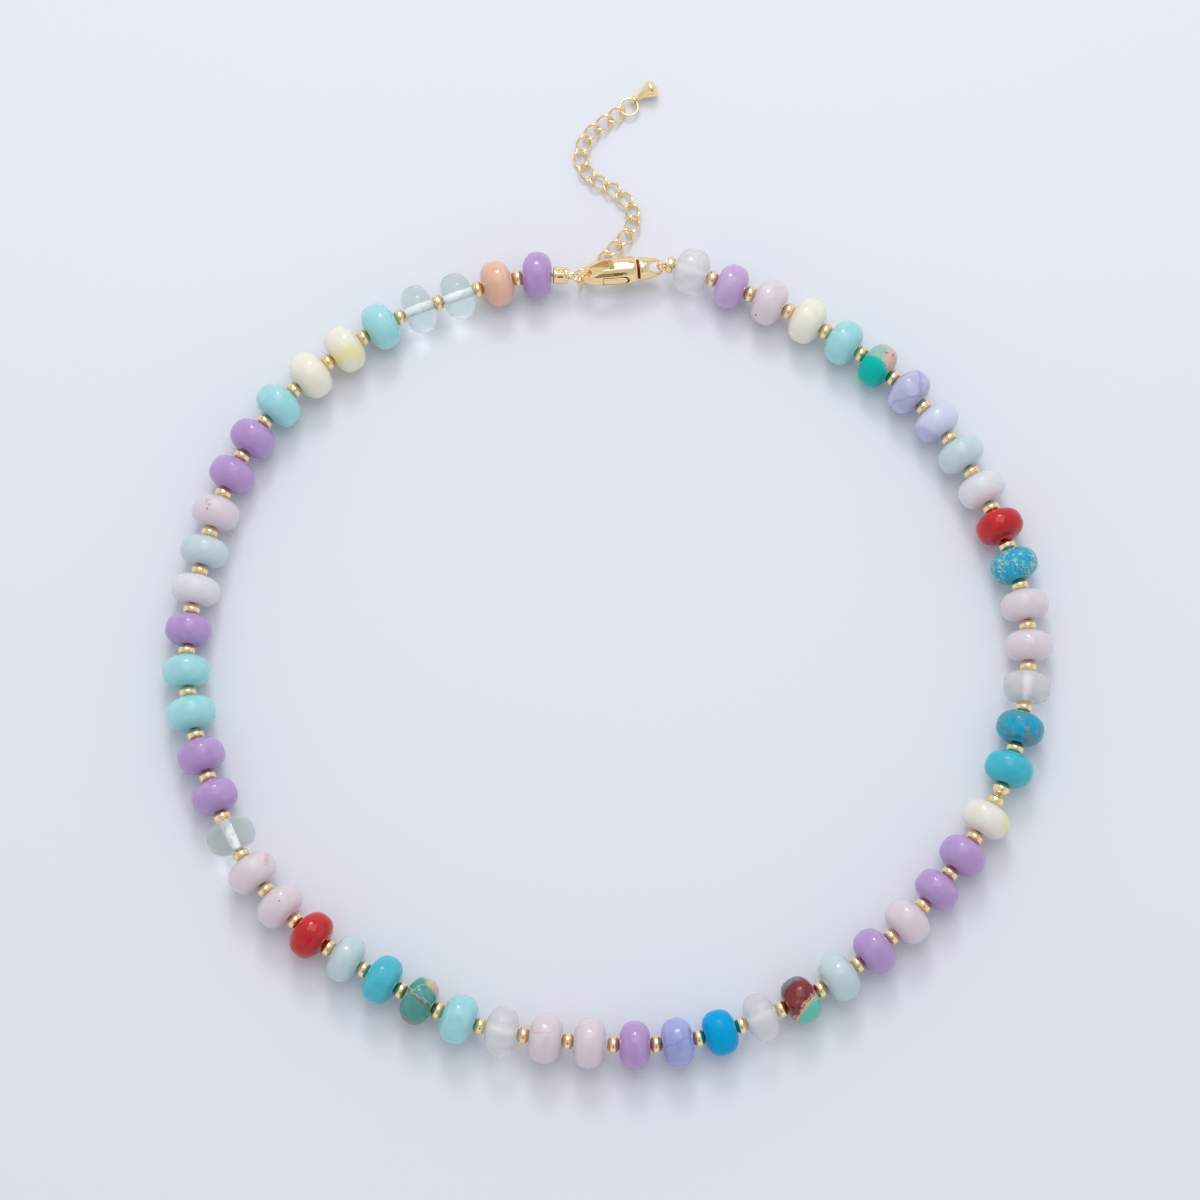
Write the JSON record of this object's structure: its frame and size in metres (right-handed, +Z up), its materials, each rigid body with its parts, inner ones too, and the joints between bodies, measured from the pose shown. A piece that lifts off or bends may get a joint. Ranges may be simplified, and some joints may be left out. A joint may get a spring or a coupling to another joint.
{
  "type": "beaded necklace",
  "caption": "Beaded necklace of mixed rondelle stones with round metal spacers, a swivel lobster clasp and an extender chain ending in a small drop, lying in a closed loop.",
  "frame": {"origin": "on the table below the middle of the necklace's bounding box", "axes": "+Z up from the table, +Y from the front of the loop towards the clasp and its extender chain, +X to the right as the picture shows it"},
  "size_m": [0.148, 0.1726, 0.0083],
  "materials": {
    "right_stones": "polished",
    "left_stones": "polished",
    "gold": "polished gold plate"
  },
  "bodies": {
    "necklace": {"strand_right": "right_stones", "strand_left": "left_stones", "crimp_right": "gold", "crimp_left": "gold", "clasp_ring": "gold", "clasp_tail": "gold", "chain_link_01": "gold", "chain_link_02": "gold", "chain_link_03": "gold", "chain_link_04": "gold", "chain_link_05": "gold", "chain_link_06": "gold", "chain_link_07": "gold", "chain_link_08": "gold", "chain_link_09": "gold", "chain_link_10": "gold", "chain_link_11": "gold", "chain_link_12": "gold", "chain_link_13": "gold", "chain_link_14": "gold", "chain_link_15": "gold", "chain_link_16": "gold", "chain_ring": "gold", "chain_drop": "gold"},
    "hook": {"clasp_hook": "gold"},
    "gate": {"clasp_gate": "gold"}
  },
  "joints": [
    {"name": "clasp_swivel", "type": "hinge", "parent": "necklace", "child": "hook", "pos_m": [-0.00475, 0.0493, 0.0044], "axis": [0.9911, 0.1305, -0.0279], "range_deg": [-12, 12]},
    {"name": "gate_hinge", "type": "hinge", "parent": "hook", "child": "gate", "pos_m": [0.00266, 0.04899, 0.00477], "axis": [0.0278, -0.4066, -0.9132], "range_deg": [0, 28], "stiffness_Nm_per_rad": 0.002, "springref_deg": -20.05}
  ]
}
